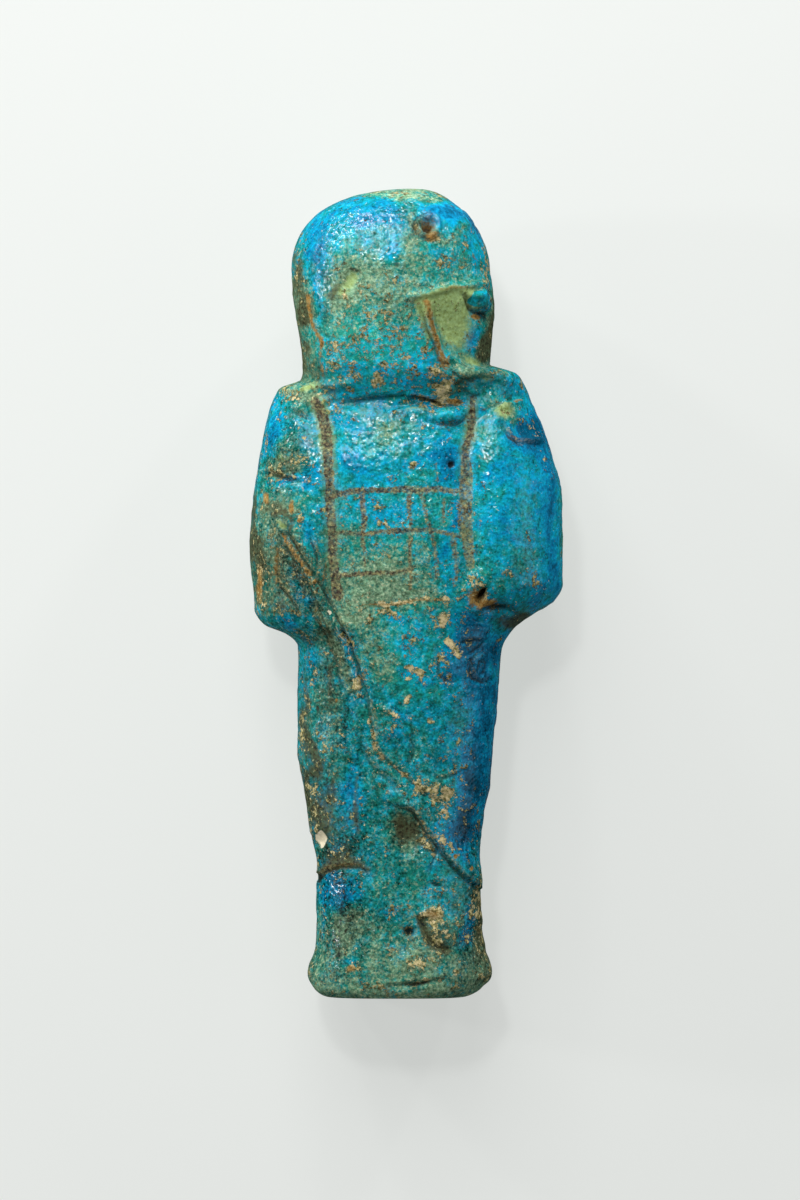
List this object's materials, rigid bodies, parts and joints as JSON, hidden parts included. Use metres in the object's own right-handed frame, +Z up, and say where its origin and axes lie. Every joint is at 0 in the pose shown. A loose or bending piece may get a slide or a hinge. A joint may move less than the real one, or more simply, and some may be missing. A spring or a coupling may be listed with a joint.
{
  "type": "ushabti figurine",
  "caption": "Mummy-shaped servant figurine of blue glazed faience, with a long wig, crossed arms and a plain shrouded body, lying on its front.",
  "frame": {"origin": "middle of the figure's box, on the surface that it lies on", "axes": "+Y from the sole to the crown, +Z up through the figure's back, +X to the right as its back is seen with the head up"},
  "size_m": [0.0422, 0.11, 0.0281],
  "materials": {
    "faience": "turquoise to deep blue alkaline glaze, glossy, with brown and green weathering and dark purple-brown painted lines"
  },
  "bodies": {
    "root": {"ushabti": "faience"}
  },
  "joints": []
}
